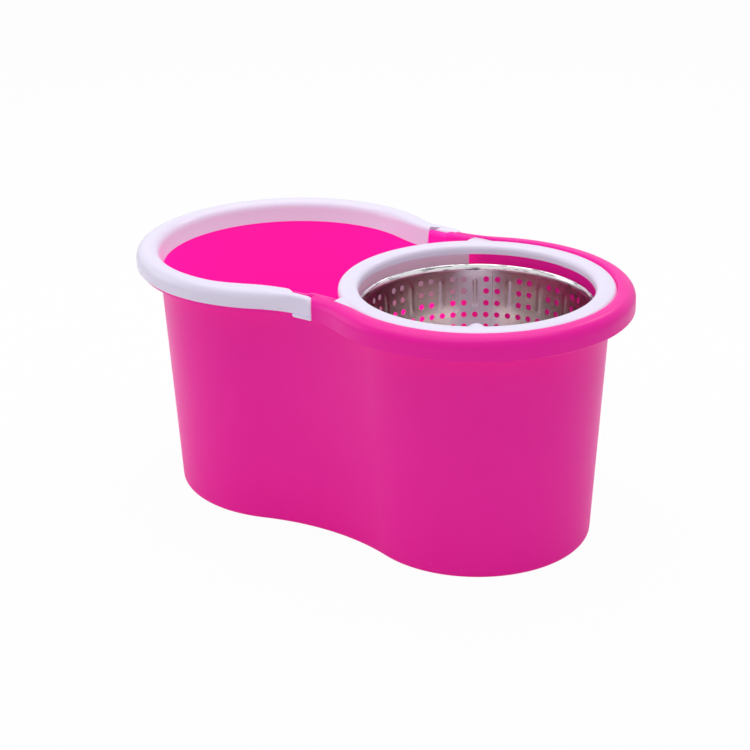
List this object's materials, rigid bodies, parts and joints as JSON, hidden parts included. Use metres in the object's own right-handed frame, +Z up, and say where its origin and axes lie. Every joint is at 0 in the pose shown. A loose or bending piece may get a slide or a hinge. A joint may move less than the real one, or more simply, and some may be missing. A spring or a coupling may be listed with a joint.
{
  "type": "spin mop bucket",
  "caption": "Figure-of-eight mop bucket with a folding carry handle, a lift-off splash ring and a spinning perforated steel wringer basket on ball bearings.",
  "frame": {"origin": "centre of the footprint, on the floor", "axes": "+Z up, +X from the washing lobe to the spinning lobe, Y across the waist"},
  "size_m": [0.4699, 0.275, 0.225],
  "materials": {
    "pink_plastic": "moulded polypropylene, satin to gloss",
    "white_plastic": "moulded polypropylene, glossy",
    "basket_steel": "polished stainless sheet",
    "bearing_steel": "ground steel",
    "gasket_rubber": "matt rubber"
  },
  "bodies": {
    "bucket": {"bucket_body": "pink_plastic", "spindle_tower": "pink_plastic", "spindle_shaft": "bearing_steel", "spindle_gasket": "gasket_rubber", "spindle_washer": "bearing_steel", "spindle_nut": "bearing_steel", "thrust_washer": "bearing_steel", "bearing_spacer": "bearing_steel", "retaining_ring": "bearing_steel", "lower_bearing_inner_ring": "bearing_steel", "upper_bearing_inner_ring": "bearing_steel"},
    "basket": {"basket_wall": "basket_steel", "basket_floor": "basket_steel", "hub_column": "white_plastic", "hub_cap": "white_plastic", "hub_clamp_plate": "white_plastic", "hub_screws": "bearing_steel", "lower_bearing_outer_ring": "bearing_steel", "upper_bearing_outer_ring": "bearing_steel"},
    "bearing_balls": {"lower_bearing_balls": "bearing_steel", "lower_bearing_cage": "bearing_steel", "upper_bearing_balls": "bearing_steel", "upper_bearing_cage": "bearing_steel"},
    "handle": {"carry_handle": "white_plastic"},
    "splash_ring": {"splash_ring": "white_plastic", "splash_skirt": "white_plastic"}
  },
  "joints": [
    {"name": "basket_spin", "type": "hinge", "parent": "bucket", "child": "basket", "pos_m": [0.1035, 0, 0.137], "axis": [0, 0, 1], "continuous": true},
    {"name": "ball_orbit", "type": "hinge", "parent": "bucket", "child": "bearing_balls", "pos_m": [0.1035, 0, 0.137], "axis": [0, 0, 1], "continuous": true},
    {"name": "handle_swing", "type": "hinge", "parent": "bucket", "child": "handle", "pos_m": [0.004, 0, 0.2178], "axis": [0, 1, 0], "range_deg": [0, 95]},
    {"name": "ring_lift", "type": "slide", "parent": "bucket", "child": "splash_ring", "axis": [0, 0, 1], "range_m": [0, 0.08]}
  ],
  "couplings": [
    {"joint": "ball_orbit", "follows": "basket_spin", "ratio": 0.628}
  ]
}
